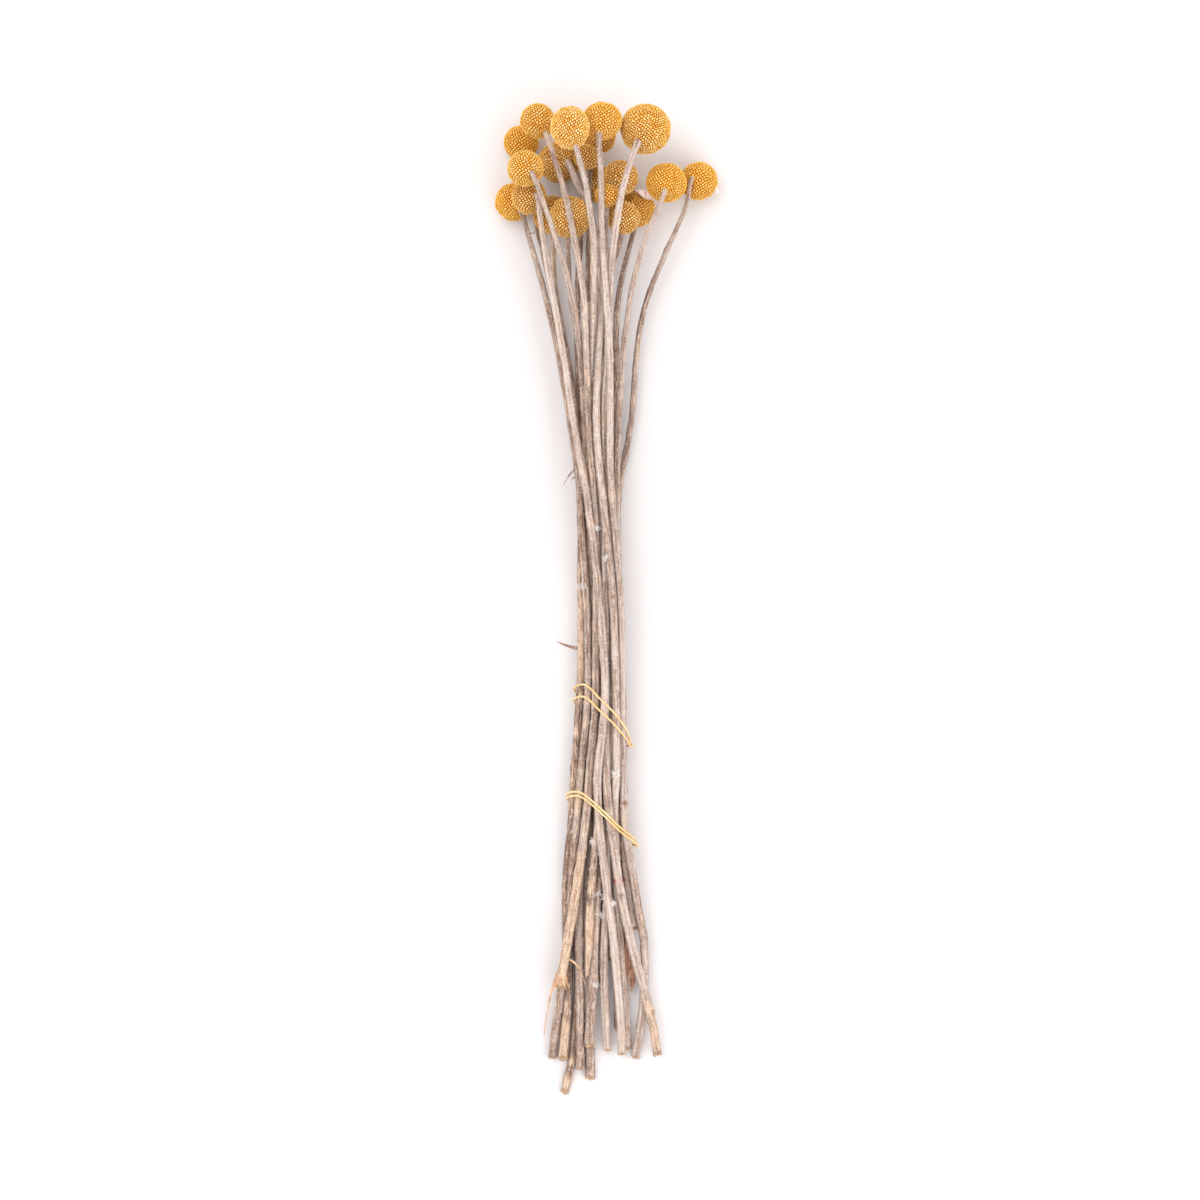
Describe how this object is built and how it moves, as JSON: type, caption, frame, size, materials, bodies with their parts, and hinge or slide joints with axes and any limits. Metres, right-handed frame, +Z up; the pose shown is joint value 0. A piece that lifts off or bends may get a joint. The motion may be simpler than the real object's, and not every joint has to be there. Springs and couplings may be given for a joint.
{
  "type": "dried billy buttons bunch",
  "caption": "Bunch of dried billy buttons: ball-shaped flower heads on thin felted stems, held by two rubber bands, lying on its side.",
  "frame": {"origin": "centre of the whole bunch's box, on the surface it lies on", "axes": "+Y along the bunch towards the heads, +X across it, +Z up from the surface"},
  "size_m": [0.1114, 0.4938, 0.0648],
  "materials": {
    "floret": "dry matt florets, golden ochre, paler on the tips",
    "stem": "dry felted stem, grey beige with tan patches",
    "rubber_band": "satin natural rubber, pale yellow orange"
  },
  "bodies": {
    "root": {"head_01": "floret", "head_02": "floret", "head_03": "floret", "head_04": "floret", "head_05": "floret", "head_06": "floret", "head_07": "floret", "head_08": "floret", "head_09": "floret", "head_10": "floret", "head_11": "floret", "head_12": "floret", "head_13": "floret", "head_14": "floret", "head_15": "floret", "head_16": "floret", "head_17": "floret", "head_18": "floret", "head_19": "floret", "head_20": "floret", "stem_01": "stem", "stem_02": "stem", "stem_03": "stem", "stem_04": "stem", "stem_05": "stem", "stem_06": "stem", "stem_07": "stem", "stem_08": "stem", "stem_09": "stem", "stem_10": "stem", "stem_11": "stem", "stem_12": "stem", "stem_13": "stem", "stem_14": "stem", "stem_15": "stem", "stem_16": "stem", "stem_17": "stem", "stem_18": "stem", "stem_19": "stem", "stem_20": "stem", "rubber_band_upper": "rubber_band", "rubber_band_lower": "rubber_band"}
  },
  "joints": []
}
